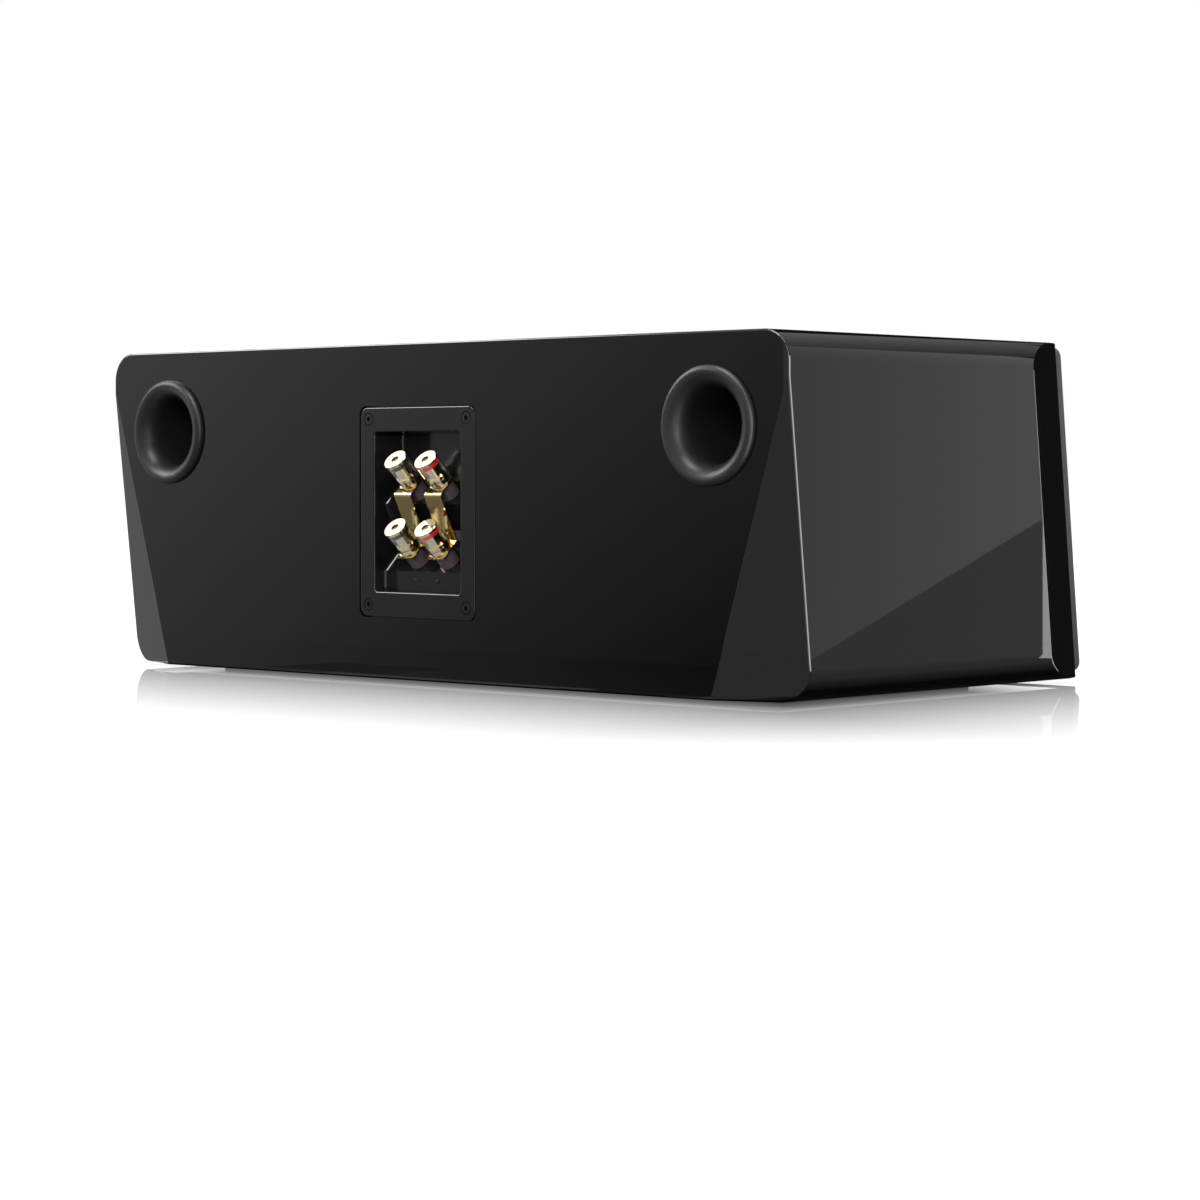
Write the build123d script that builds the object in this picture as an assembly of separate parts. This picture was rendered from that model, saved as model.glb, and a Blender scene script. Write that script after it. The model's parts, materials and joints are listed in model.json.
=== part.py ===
from build123d import *
import os
from dataclasses import dataclass
from math import cos, radians, sin, sqrt, tan

# Center channel loudspeaker, in millimetres: +Z is up, the grille faces -Y and the terminals face +Y.
# The origin is the middle of the overall box, on the surface that the feet stand on.
# Depths are measured forward from the rear panel. Left and right are as seen from the front.

# Cabinet
width = 650.0
height = 228.0
corner_radius = 20.0
edge_round = 1.5
wall = 19.0
rear_wall = 22.0
inner_corner_least = 1.0

# How far a cut runs past the faces that it opens
cut_margin = 1.0

# Front: depths are along the cabinet's bottom edge, and everything leans back by the same angle
front_lean = 6.12
front_depth = 332.0
crease_depth = 275.2
chamfer_inset = 21.0
baffle_thickness = 25.0
glue_gap = 0.1

# Facets at the lower rear corners
facet_inset = 62.7
facet_below_top = 25.5
facet_depth = 22.5

# Partitions of the middle chamber
partition_x = 66.0
partition_thickness = 15.0
cable_hole_radius = 10.0
cable_hole_depth = 190.0

# Feet
foot_height = 3.0
foot_radius = 11.0
foot_bevel = 0.6
foot_from_side = 70.0
foot_from_rear = 62.0
foot_from_front = 75.0

# Reflex ports
port_from_side = 64.0
port_from_top = 58.5
port_lip_radius = 37.5
port_lip_proud = 4.5
port_lip_round = 3.4
port_throat_radius = 24.0
port_flare_depth = 15.0
port_wall = 3.2
port_length = 125.0
port_clearance = 0.4

# Terminal plate and its stepped recess
plate_width = 111.0
plate_height = 142.0
plate_corner = 6.0
plate_thickness = 4.0
plate_edge_round = 0.8
plate_gap = 1.0
plate_above_bottom = 113.5
gasket_thickness = 1.0
recess_width = 83.7
recess_height = 108.7
recess_corner = 2.5
recess_depth = 27.0
step_depth = 11.0
lower_step = -40.3
upper_step = 5.5
recess_draft = 1.3
cup_wall = 2.5
cup_clearance = 1.0
recess_lip_round = 1.2

# Terminal plate screws, with a hexagon socket
plate_screw_x = 47.4
plate_screw_z = 63.2
plate_screw_head_radius = 3.8
plate_screw_head = 2.6
plate_screw_radius = 1.9
plate_screw_length = 15.0
plate_screw_socket = 3.0
plate_screw_socket_depth = 1.6
counterbore_clearance = 0.6
screw_clearance = 0.05

# Binding posts, which stand square on the slanting shelves
post_angle = 45.0
post_x = 14.65
post_down = 2.0
stud_radius = 3.0
stud_tip = 31.0
stud_tail = 14.0
socket_radius = 2.0
socket_length = 15.5
wire_hole_radius = 1.25
wire_hole_up = 1.9
bush_radius = 7.0
bush_height = 11.0
bush_spigot_radius = 4.5
nut_across_flats = 10.0
nut_height = 5.0
post_clearance = 0.05
thread_clearance = 0.1
knob_length = 21.5
knob_radius = 8.5
cap_thickness = 1.7
cap_bevel = 0.4
cap_hole_radius = 2.9
sleeve_wall = 1.0
sleeve_lift = 1.6
colour_ring_height = 3.4
colour_ring_depth = 1.1
neck_radius = 6.1
collar_height = 2.0
collar_groove = 1.0
collar_up = 2.4
foot_ring_radius = 6.6

# Jumpers between the upper and lower posts
jumper_thickness = 1.0
jumper_width = 16.0
jumper_bend = 1.4
jumper_upper_out = 11.9
jumper_lower_out = 8.3
jumper_tab_in = 9.6
jumper_hole_clearance = 0.3

# Grille: a frame with pegs and a cloth over its front and edges
grille_inset = 2.6
grille_end_inset = 3.0
grille_corner = 17.0
grille_stand_off = 0.4
grille_frame_thickness = 7.4
grille_cloth_thickness = 1.0
grille_cloth_gap = 0.05
grille_edge_round = 1.6
grille_bar = 16.0
grille_window_flat = 18.4
grille_middle_corner = 12.0
cross_bar_width = 14.0
peg_radius = 3.5
peg_length = 9.0
peg_bevel = 0.8
peg_from_end = 31.4
peg_from_edge = 13.4
peg_clearance = 0.1
peg_socket_wall = 1.5
peg_socket_depth = 12.0

# Driver seats in the baffle
driver_gap = 5.0
frame_clearance = 0.5
cutout_clearance = 0.8

# Driver screws
driver_screw_radius = 1.7
driver_screw_head_radius = 3.4
driver_screw_head = 2.2
driver_screw_length = 18.0
driver_screw_clearance = 0.3

# Tweeter
tweeter_radius = 33.0
tweeter_thickness = 4.0
tweeter_flare_radius = 25.0
tweeter_mouth_radius = 15.0
tweeter_screws = 4
tweeter_screw_circle = 29.2
dome_radius = 13.0
dome_rise = 4.6
dome_thickness = 0.5
dome_flange = 21.0
tweeter_motor_radius = 25.0
tweeter_motor_height = 24.0
tweeter_pole_radius = 11.5
tweeter_pole_dip = 2.5

# Crossover on the floor of the middle chamber
board_gap = 5.0
board_length = 124.0
board_thickness = 3.0
board_depth = 118.0
coil_radius = 23.0
coil_bore = 11.0
coil_height = 20.0
coil_spacing = 50.0
capacitors = 5
capacitor_radius = 10.0
capacitor_length = 36.0
capacitor_spacing = 24.0
capacitor_row = -22.0
resistor_side = 9.0
resistor_length = 38.0
resistor_spacing = 46.0
component_gap = 0.1
component_row = 34.0


@dataclass
class ConeDriver:
    """Sizes of a cone driver: heights run out from the front of its frame, along its axis."""

    frame_radius: float
    frame_thickness: float
    screws: int
    screw_circle: float
    seat_radius: float
    seat_depth: float
    lip_width: float
    roll_radius: float
    rubber: float
    cone_lip: float
    cone_depth: float
    paper: float
    cap_radius: float
    cap_rise: float
    coil_radius: float
    former: float
    winding: float
    winding_length: float
    coil_gap: float
    spider_depth: float
    spider_radius: float
    spider_ledge: float
    spider_cloth: float
    spider_waves: int
    spider_wave: float
    basket_depth: float
    basket_foot: float
    foot_radius: float
    foot_bore: float
    windows: int
    window_width: float
    window_margin: float
    plate_radius: float
    plate: float
    magnet_radius: float
    magnet_bore: float
    magnet_height: float
    vent_radius: float
    glue: float = 0.1

    @property
    def roll_outer(self):
        return self.seat_radius - self.lip_width

    @property
    def cone_radius(self):
        return self.roll_outer - 2 * self.roll_radius

    @property
    def neck(self):
        return -self.seat_depth - self.cone_depth

    @property
    def neck_top(self):
        run = self.cone_radius - self.cone_lip - self.coil_radius
        return self.neck + self.paper * sqrt(run**2 + self.cone_depth**2) / run

    def cone_height(self, radius):
        """Height of the cone's front surface at a radius."""
        edge = self.cone_radius - self.cone_lip
        share = (radius - self.coil_radius) / (edge - self.coil_radius)
        return self.neck_top + share * (-self.seat_depth - self.neck_top)


woofer = ConeDriver(
    frame_radius=82.5, frame_thickness=5.0, screws=6, screw_circle=78.0,
    seat_radius=73.0, seat_depth=2.0, lip_width=6.0, roll_radius=6.0, rubber=1.0,
    cone_lip=4.0, cone_depth=27.0, paper=1.0, cap_radius=25.0, cap_rise=7.0,
    coil_radius=19.4, former=0.5, winding=0.4, winding_length=13.0, coil_gap=0.5,
    spider_depth=41.0, spider_radius=52.0, spider_ledge=5.0, spider_cloth=0.8,
    spider_waves=4, spider_wave=1.6, basket_depth=62.0, basket_foot=4.0, foot_radius=50.0,
    foot_bore=28.0, windows=6, window_width=40.0, window_margin=6.0,
    plate_radius=46.0, plate=6.0, magnet_radius=51.0, magnet_bore=26.0, magnet_height=18.0,
    vent_radius=6.0,
)

midrange = ConeDriver(
    frame_radius=47.0, frame_thickness=4.0, screws=4, screw_circle=42.8,
    seat_radius=38.6, seat_depth=1.5, lip_width=3.0, roll_radius=3.4, rubber=0.8,
    cone_lip=2.5, cone_depth=15.0, paper=0.8, cap_radius=16.0, cap_rise=4.5,
    coil_radius=12.9, former=0.4, winding=0.3, winding_length=7.0, coil_gap=0.4,
    spider_depth=25.0, spider_radius=30.0, spider_ledge=3.5, spider_cloth=0.6,
    spider_waves=3, spider_wave=1.0, basket_depth=38.0, basket_foot=3.0, foot_radius=30.0,
    foot_bore=18.0, windows=4, window_width=30.0, window_margin=4.5,
    plate_radius=32.0, plate=5.0, magnet_radius=35.0, magnet_bore=17.0, magnet_height=13.0,
    vent_radius=4.0,
)

# Places worked out from the sizes above
sides = {"left": -1, "right": 1}
poles = {"positive": -1, "negative": 1}
lean = radians(front_lean)
shelf_run = recess_depth - step_depth
shelf_middle_depth = step_depth + shelf_run / 2
post_tilt = radians(post_angle)
shelf_rise = shelf_run / tan(post_tilt)
post_depth = shelf_middle_depth - post_down * sin(post_tilt)
knob_foot = bush_height + jumper_thickness
knob_tip = knob_foot + knob_length
middle_z = foot_height + height / 2
grille_front = grille_stand_off + grille_frame_thickness + grille_cloth_gap + grille_cloth_thickness
grille_bottom = height / (2 * cos(lean)) - grille_end_inset
rear_reach = knob_tip * sin(post_tilt) + (knob_radius - cap_bevel) * cos(post_tilt) - post_depth
front_middle_depth = front_depth - tan(lean) * height / 2
front_reach = (
    front_middle_depth
    + grille_front * cos(lean)
    + (grille_bottom - grille_edge_round) * sin(lean)
    - grille_edge_round * (1 - cos(lean)) * cos(lean)
    + grille_edge_round * sin(lean) * sin(lean)
)
rear_y = (front_reach - rear_reach) / 2

facet_half_width = width / 2 - facet_inset
facet_top = height - facet_below_top
port_x = width / 2 - port_from_side
port_height = height - port_from_top
board_width = 2 * (partition_x - board_gap)
chamfer_run = (front_depth - crease_depth) * cos(lean)
chamfer_slant = sqrt(chamfer_run**2 + chamfer_inset**2) / chamfer_run
baffle_half_width = width / 2 - chamfer_inset - wall * chamfer_slant
baffle_half_height = (height / 2 - wall - glue_gap) / cos(lean)
woofer_x = (partition_x + partition_thickness + baffle_half_width) / 2
middle_stack = 2 * (tweeter_radius + midrange.frame_radius) + driver_gap
tweeter_up = middle_stack / 2 - tweeter_radius
midrange_up = midrange.frame_radius - middle_stack / 2
grille_half_width = width / 2 - chamfer_inset - grille_inset
cross_bar_x = partition_x + partition_thickness / 2
peg_outer_x = grille_half_width - peg_from_end
peg_row = baffle_half_height - peg_from_edge

rear = Plane(origin=(0, rear_y, middle_z), x_dir=(-1, 0, 0), z_dir=(0, 1, 0))
front = Plane(
    origin=(0, rear_y - front_middle_depth, middle_z),
    x_dir=(1, 0, 0),
    z_dir=(0, -cos(lean), sin(lean)),
)
plate_up = foot_height + plate_above_bottom - middle_z


def turned(outline):
    """Revolves an outline of radius and height about the local Z axis."""
    return revolve(Plane.XZ * outline, axis=Axis.Z)


def profile(*points):
    """A closed flat outline through points."""
    return make_face(Polyline(*points, close=True))


def ring(inner, outer, low, high):
    """A plain tube between two radii and two heights on the local Z axis."""
    return turned(profile((inner, low), (outer, low), (outer, high), (inner, high)))


def disc(radius, low, high):
    """A plain round bar between two heights on the local Z axis."""
    return Pos(0, 0, low) * Cylinder(radius, high - low, align=(Align.CENTER, Align.CENTER, Align.MIN))


def trim(solid, plane):
    """Keeps what lies behind a plane, on the side that its normal points away from."""
    return split(solid, bisect_by=plane, keep=Keep.BOTTOM)


def chamfer_plane(side):
    """Plane of the long chamfer beside the front, through the crease on the cabinet's side."""
    normal = (side * chamfer_run, -chamfer_inset * cos(lean), chamfer_inset * sin(lean))
    return Plane(origin=(side * width / 2, rear_y - crease_depth, foot_height), z_dir=normal)


def facet_corners(side):
    """Corners of the slanting facet before any edge is rounded: inner, top and outer."""
    return [
        Vector(side * facet_half_width, rear_y, foot_height),
        Vector(side * width / 2, rear_y, foot_height + facet_top),
        Vector(side * width / 2, rear_y - facet_depth, foot_height),
    ]


def facet_plane(side):
    """Plane of the slanting facet at a lower rear corner."""
    inner, top, outer = facet_corners(side)
    normal = (outer - inner).cross(top - inner)
    return Plane(origin=inner, z_dir=normal if normal.Y > 0 else -normal)


def rounded_bar(inset, rear_depth, radius):
    """A bar of the cabinet's section, set in from its outside, from a depth to past the front."""
    section = rear.offset(-rear_depth) * RectangleRounded(width - 2 * inset, height - 2 * inset, radius)
    return extrude(section, -(front_depth + cut_margin - rear_depth))


def cavity(inset):
    """The space inside the cabinet, open at the front, at a distance inside its outer faces."""
    radius = max(corner_radius - inset, inner_corner_least)
    space = rounded_bar(inset, rear_wall, radius)
    for side in sides.values():
        space = trim(space, chamfer_plane(side).offset(-inset))
    return space


def cabinet_body():
    """Outside of the cabinet with its facets, chamfers and rounded edges, still solid."""
    body = trim(rounded_bar(0, 0, corner_radius), front)
    for side in sides.values():
        body = trim(body, chamfer_plane(side))
        body = trim(body, facet_plane(side))
    edges = body.faces().sort_by(Axis.Y)[-1].edges()
    lean_back = tan(lean) * height / 2
    for side in sides.values():
        corners = facet_corners(side)
        strip_x = side * (width - chamfer_inset) / 2
        strip_depth = (front_depth + crease_depth) / 2 - lean_back
        facet = face_near(body, sum(corners, Vector()) * (1 / len(corners)))
        strip = face_near(body, Vector(strip_x, rear_y - strip_depth, middle_z))
        edges += facet.edges() + strip.edges()
    return fillet(edges, edge_round)


def face_near(body, point):
    """The face of a solid that lies nearest to a point."""
    return min(body.faces(), key=lambda face: face.distance_to(point))


def rear_place(x, up, out=0.0):
    """Place on the rear panel: x as in the part's frame, up from the middle, out from the panel."""
    return rear.location * Pos(-x, up, out)


def front_place(x, up, out=0.0):
    """Place on the baffle: x, up along the baffle from its middle, out from its front."""
    return front.location * Pos(x, up, out)


def peg_places():
    """Places of the grille's pegs on the baffle."""
    return [
        front_place(side * x, row * peg_row)
        for side in sides.values()
        for x in (peg_outer_x, cross_bar_x)
        for row in (-1, 1)
    ]


def plate_screw_places():
    """Places of the terminal plate's screws on the rear panel."""
    return [
        rear_place(side * plate_screw_x, plate_up + row * plate_screw_z)
        for side in sides.values()
        for row in (-1, 1)
    ]


def driver_places():
    """Each cone driver with its name and its place on the baffle."""
    return [
        ("left_woofer", woofer, front_place(-woofer_x, 0)),
        ("right_woofer", woofer, front_place(woofer_x, 0)),
        ("midrange", midrange, front_place(0, midrange_up)),
    ]


def screw_places(place, circle, count):
    """Places of a driver's screws, spread evenly round its frame from a half step."""
    step = 360.0 / count
    return [place * Rot(0, 0, step * (i + 0.5)) * Pos(circle, 0, 0) for i in range(count)]


def cabinet():
    """Lacquered shell with its rear panel, port holes and rebate for the terminal plate."""
    shell = cabinet_body() - cavity(wall)
    port_hole = port_throat_radius + port_wall + port_clearance
    for side in sides.values():
        place = rear_place(side * port_x, foot_height + port_height - middle_z)
        shell -= place * disc(port_hole, -rear_wall - cut_margin, cut_margin)
    rebate = RectangleRounded(plate_width + 2 * plate_gap, plate_height + 2 * plate_gap, plate_corner)
    middle = rear_place(0, plate_up)
    shell -= middle * extrude(rebate, -(plate_thickness + gasket_thickness))
    shell -= middle * extrude(cup_opening(), -rear_wall - cut_margin)
    for place in plate_screw_places():
        shell -= place * disc(plate_screw_radius + screw_clearance, -plate_screw_length - cut_margin, 0)
    return shell


def front_baffle():
    """Board that carries the drivers, set into the front of the cabinet and flush with it."""
    board = trim(cavity(wall + glue_gap), front)
    board = board - trim(cavity(wall + glue_gap), front.offset(-baffle_thickness))
    through = -baffle_thickness - cut_margin
    screw_end = -driver_screw_length - cut_margin
    for _, driver, place in driver_places():
        board -= place * disc(driver.frame_radius + frame_clearance, -driver.frame_thickness, cut_margin)
        board -= place * disc(driver.seat_radius + cutout_clearance, through, cut_margin)
        for screw in screw_places(place, driver.screw_circle, driver.screws):
            board -= screw * disc(driver_screw_radius + screw_clearance, screw_end, 0)
    tweeter_place = front_place(0, tweeter_up)
    board -= tweeter_place * disc(tweeter_radius + frame_clearance, -tweeter_thickness, cut_margin)
    board -= tweeter_place * disc(tweeter_motor_radius + cutout_clearance, through, cut_margin)
    for screw in screw_places(tweeter_place, tweeter_screw_circle, tweeter_screws):
        board -= screw * disc(driver_screw_radius + screw_clearance, screw_end, 0)
    for peg in peg_places():
        outer = peg_radius + peg_clearance + peg_socket_wall + post_clearance
        board -= peg * disc(outer, -peg_socket_depth, cut_margin)
    return board


def partition(side):
    """Upright board between a woofer's chamber and the middle chamber, with a hole for its lead."""
    low = foot_height + wall
    board = Box(
        partition_thickness,
        front_depth - rear_wall,
        height - 2 * wall,
        align=(Align.CENTER, Align.MAX, Align.MIN),
    )
    middle_x = side * (partition_x + partition_thickness / 2)
    board = Pos(middle_x, rear_y - rear_wall, low) * board
    board = trim(board, front.offset(-baffle_thickness))
    hole = Rot(0, 90, 0) * Cylinder(cable_hole_radius, partition_thickness + 2 * cut_margin)
    return board - Pos(middle_x, rear_y - cable_hole_depth, middle_z) * hole


def feet():
    """Four round rubber feet under the cabinet, bevelled where they meet the shelf."""
    foot = turned(
        profile(
            (0, 0),
            (foot_radius - foot_bevel, 0),
            (foot_radius, foot_bevel),
            (foot_radius, foot_height),
            (0, foot_height),
        )
    )
    depths = (foot_from_rear, front_depth - foot_from_front)
    return [
        Pos(side * (width / 2 - foot_from_side), rear_y - depth, 0) * foot
        for side in sides.values()
        for depth in depths
    ]


def port():
    """Reflex port: a flare with a rounded lip that stands on the rear panel, and a tube joined to it."""
    flare_radius = port_lip_radius - port_lip_round - port_throat_radius
    crest = port_throat_radius + flare_radius
    flare_start = port_lip_proud - port_flare_depth
    tube = port_throat_radius + port_wall
    outline = make_face(
        [
            Line((port_throat_radius, -rear_wall), (port_throat_radius, flare_start)),
            EllipticalCenterArc((crest, flare_start), flare_radius, port_flare_depth, 90, arc_size=90),
            CenterArc((crest, port_lip_proud - port_lip_round), port_lip_round, 0, 90),
            Polyline(
                (port_lip_radius, port_lip_proud - port_lip_round),
                (port_lip_radius, 0),
                (tube, 0),
                (tube, -rear_wall),
                (port_throat_radius, -rear_wall),
            ),
        ]
    )
    return [turned(outline), ring(port_throat_radius, tube, -port_length, -rear_wall)]


def recess_outline():
    """Side view of the stepped recess as height and depth: two slanting shelves over steps."""
    half = recess_height / 2
    return profile(
        (-half, 0),
        (-half + recess_draft, -step_depth),
        (lower_step, -step_depth),
        (lower_step + shelf_rise, -recess_depth),
        (upper_step, -step_depth),
        (upper_step + shelf_rise, -recess_depth),
        (half - recess_draft, -recess_depth),
        (half, 0),
    )


def post_place(x, step):
    """Place of a binding post: a little below the middle of its shelf, with Z out along the post."""
    up = plate_up + step + shelf_rise / 2 - post_down * cos(post_tilt)
    point = rear.from_local_coords(Vector(-x, up, -post_depth))
    return Plane(origin=point, x_dir=(-1, 0, 0), z_dir=(0, cos(post_tilt), sin(post_tilt))).location


def post_places():
    """Each binding post's name and place: the red pair is on the left, seen from the front."""
    rows = {"upper": upper_step, "lower": lower_step}
    return {
        f"{row}_{pole}": post_place(side * post_x, step)
        for row, step in rows.items()
        for pole, side in poles.items()
    }


def cup_opening():
    """Opening in the rear panel and the gasket that the recess passes through."""
    margin = 2 * (cup_wall + cup_clearance)
    return Rectangle(recess_width + margin, recess_height + margin)


def terminal_cup():
    """Moulded plate with a thin-walled stepped recess behind its opening."""
    plate = extrude(RectangleRounded(plate_width, plate_height, plate_corner), -plate_thickness)
    plate = fillet(plate.faces().sort_by(Axis.Z)[-1].edges(), plate_edge_round)
    across = Plane(origin=(0, 0, 0), x_dir=(0, 1, 0), z_dir=(1, 0, 0))
    recess = extrude(across * recess_outline(), recess_width / 2, both=True)
    upright = recess.edges().filter_by(Axis.X, reverse=True)
    inside = [edge for edge in upright if edge.center().Z < -plate_edge_round]
    recess = fillet(inside, recess_corner)
    backing = offset(recess_outline(), cup_wall, kind=Kind.INTERSECTION)
    backing = extrude(across * backing, recess_width / 2 + cup_wall, both=True)
    cup = plate + trim(backing, Plane.XY) - recess
    rim = cup.faces().sort_by(Axis.Z)[-1].inner_wires()[0].edges()
    cup = fillet(rim, recess_lip_round)
    counterbore = plate_screw_head_radius + counterbore_clearance
    cup = rear_place(0, plate_up) * cup
    for place in plate_screw_places():
        cup -= place * disc(counterbore, -plate_screw_head, cut_margin)
        cup -= place * disc(plate_screw_radius + counterbore_clearance, -plate_thickness - cut_margin, 0)
    for place in post_places().values():
        cup -= place * disc(bush_spigot_radius + post_clearance, -cup_wall - cut_margin, cut_margin)
    return cup


def terminal_gasket():
    """Foam frame between the terminal plate and its rebate."""
    outline = RectangleRounded(plate_width, plate_height, plate_corner)
    gasket = rear_place(0, plate_up, -plate_thickness) * extrude(outline - cup_opening(), -gasket_thickness)
    low = -plate_thickness - gasket_thickness - cut_margin
    for place in plate_screw_places():
        gasket -= place * disc(plate_screw_radius + counterbore_clearance, low, 0)
    return gasket


def plate_screw():
    """Socket-head screw, sunk flush in the terminal plate."""
    body = disc(plate_screw_head_radius, -plate_screw_head, 0)
    body += disc(plate_screw_radius, -plate_screw_length, -plate_screw_head)
    socket = RegularPolygon(plate_screw_socket / 2, 6, major_radius=False)
    return body - extrude(socket, -plate_screw_socket_depth)


def post_stud():
    """Threaded stud with a plug socket in its tip and a cross hole for bare wire."""
    stud = disc(stud_radius, -stud_tail, stud_tip)
    stud -= disc(socket_radius, stud_tip - socket_length, stud_tip + cut_margin)
    hole = Rot(0, 90, 0) * Cylinder(wire_hole_radius, 2 * (stud_radius + cut_margin))
    return stud - Pos(0, 0, knob_foot + wire_hole_up) * hole


def post_bush():
    """Insulating bush that stands on the shelf, with a spigot through it."""
    bore = stud_radius + post_clearance
    return turned(
        profile(
            (bore, -cup_wall),
            (bush_spigot_radius, -cup_wall),
            (bush_spigot_radius, 0),
            (bush_radius, 0),
            (bush_radius, bush_height),
            (bore, bush_height),
        )
    )


def post_nut():
    """Hexagon nut on the stud behind the shelf."""
    outline = RegularPolygon(nut_across_flats / 2, 6, major_radius=False)
    outline -= Circle(stud_radius + post_clearance)
    return Pos(0, 0, -cup_wall) * extrude(outline, -nut_height)


def knob_core():
    """Plated knob: threaded tube with a foot ring and two collars on it, and the cap with the plug hole."""
    seat = neck_radius + post_clearance
    inner = knob_radius - sleeve_wall - post_clearance
    collar = knob_foot + collar_up
    second = collar + collar_height + collar_groove
    cap = knob_tip - cap_thickness
    end_cap = turned(
        profile(
            (cap_hole_radius, cap),
            (knob_radius, cap),
            (knob_radius, knob_tip - cap_bevel),
            (knob_radius - cap_bevel, knob_tip),
            (cap_hole_radius, knob_tip),
        )
    )
    return [
        ring(stud_radius + thread_clearance, neck_radius, knob_foot, cap),
        ring(seat, foot_ring_radius, knob_foot, collar),
        ring(seat, inner, collar, collar + collar_height),
        ring(seat, inner, second, second + collar_height),
        end_cap,
    ]


def knob_sleeve():
    """Clear sleeve round the knob, from under its cap to just above its foot."""
    cap = knob_tip - cap_thickness
    return ring(knob_radius - sleeve_wall, knob_radius, knob_foot + sleeve_lift, cap)


def knob_ring():
    """Colour ring on the neck, close under the cap and inside the clear sleeve."""
    cap = knob_tip - cap_thickness
    outer = knob_radius - sleeve_wall - post_clearance
    return ring(outer - colour_ring_depth, outer, cap - colour_ring_height, cap)


def jumper(pole):
    """Strip with a tab on the upper bush, a slanting run and a tab on the lower bush."""
    places = post_places()
    upper = places[f"upper_{pole}"]
    lower = places[f"lower_{pole}"]
    stations = [
        (upper, jumper_tab_in),
        (upper, -jumper_upper_out),
        (lower, jumper_tab_in),
        (lower, -jumper_lower_out),
    ]
    points = [(place * Pos(0, along, bush_height)).position for place, along in stations]
    flat = Plane(origin=points[0], x_dir=(0, 1, 0), z_dir=(1, 0, 0))
    line = FilletPolyline(*[flat.to_local_coords(p) for p in points], radius=jumper_bend)
    strip = make_face(offset(line, jumper_thickness, kind=Kind.INTERSECTION, side=Side.LEFT))
    body = extrude(flat * strip, jumper_width / 2, both=True)
    for place in (upper, lower):
        body -= place * disc(stud_radius + jumper_hole_clearance, 0, knob_tip)
    return body


def grille_outline(grow):
    """Outline of the grille on the baffle, grown outwards."""
    half_height = grille_bottom - grille_cloth_thickness
    return RectangleRounded(2 * (grille_half_width + grow), 2 * (half_height + grow), grille_corner + grow)


def grille_frame():
    """Board frame with a window for each woofer and the middle drivers, and pegs on its back."""
    outline = grille_outline(-grille_cloth_gap)
    window_height = 2 * (grille_bottom - grille_cloth_thickness - grille_bar)
    inner = cross_bar_x + cross_bar_width / 2
    outer = grille_half_width - grille_bar
    corner = (min(outer - inner, window_height) - grille_window_flat) / 2
    window = RectangleRounded(outer - inner, window_height, corner)
    for side in sides.values():
        outline -= Pos(side * (outer + inner) / 2, 0) * window
    middle = RectangleRounded(2 * cross_bar_x - cross_bar_width, window_height, grille_middle_corner)
    frame = front_place(0, 0, grille_stand_off) * extrude(outline - middle, grille_frame_thickness)
    peg = turned(
        profile(
            (0, -peg_length),
            (peg_radius - peg_bevel, -peg_length),
            (peg_radius, peg_bevel - peg_length),
            (peg_radius, grille_stand_off),
            (0, grille_stand_off),
        )
    )
    for place in peg_places():
        frame += place * peg
    return frame


def grille_cloth():
    """Stretched cloth over the front and round the edges of the grille frame."""
    inner_depth = grille_frame_thickness + grille_cloth_gap
    skin = extrude(grille_outline(grille_cloth_thickness), inner_depth + grille_cloth_thickness)
    skin = fillet(skin.faces().sort_by(Axis.Z)[-1].edges(), grille_edge_round)
    skin -= extrude(grille_outline(0), inner_depth)
    return front_place(0, 0, grille_stand_off) * skin


def peg_socket():
    """Plastic cup that is pressed into the baffle for one peg of the grille."""
    bore = peg_radius + peg_clearance
    outer = bore + peg_socket_wall
    return turned(
        profile(
            (0, -peg_socket_depth),
            (outer, -peg_socket_depth),
            (outer, 0),
            (bore, 0),
            (bore, peg_socket_wall - peg_socket_depth),
            (0, peg_socket_wall - peg_socket_depth),
        )
    )


def driver_screw():
    """Screw that holds a driver's frame, with its head flush in the frame."""
    head = disc(driver_screw_head_radius, -driver_screw_head, 0)
    return head + disc(driver_screw_radius, -driver_screw_length, -driver_screw_head)


def frame_holes(body, place, circle, count):
    """Cuts the counterbored screw holes of a driver's frame or faceplate."""
    head_hole = driver_screw_head_radius + driver_screw_clearance
    shank_hole = driver_screw_radius + driver_screw_clearance
    for screw in screw_places(place, circle, count):
        body -= screw * disc(head_hole, -driver_screw_head, cut_margin)
        body -= screw * disc(shank_hole, -driver_screw_length, 0)
    return body


def basket(d):
    """Cast basket: frame, seat for the surround, windowed skirt, spider ledge and foot."""
    ledge_inner = d.spider_radius - d.spider_ledge
    body = turned(
        profile(
            (d.seat_radius, 0),
            (d.frame_radius, 0),
            (d.frame_radius, -d.frame_thickness),
            (d.seat_radius, -d.frame_thickness),
            (d.foot_radius, -d.basket_depth),
            (d.foot_bore, -d.basket_depth),
            (d.foot_bore, d.basket_foot - d.basket_depth),
            (ledge_inner, d.basket_foot - d.basket_depth),
            (ledge_inner, -d.spider_depth),
            (d.spider_radius, -d.spider_depth),
            (d.roll_outer, -d.frame_thickness),
            (d.roll_outer, -d.seat_depth),
            (d.seat_radius, -d.seat_depth),
        )
    )
    high = -d.frame_thickness - d.window_margin
    low = -d.spider_depth + d.window_margin
    window = Box(d.frame_radius, d.window_width, high - low, align=(Align.MIN, Align.CENTER, Align.MIN))
    for i in range(d.windows):
        body -= Rot(0, 0, 360.0 / d.windows * i) * Pos(ledge_inner, 0, low) * window
    return frame_holes(body, Location(), d.screw_circle, d.screws)


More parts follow.
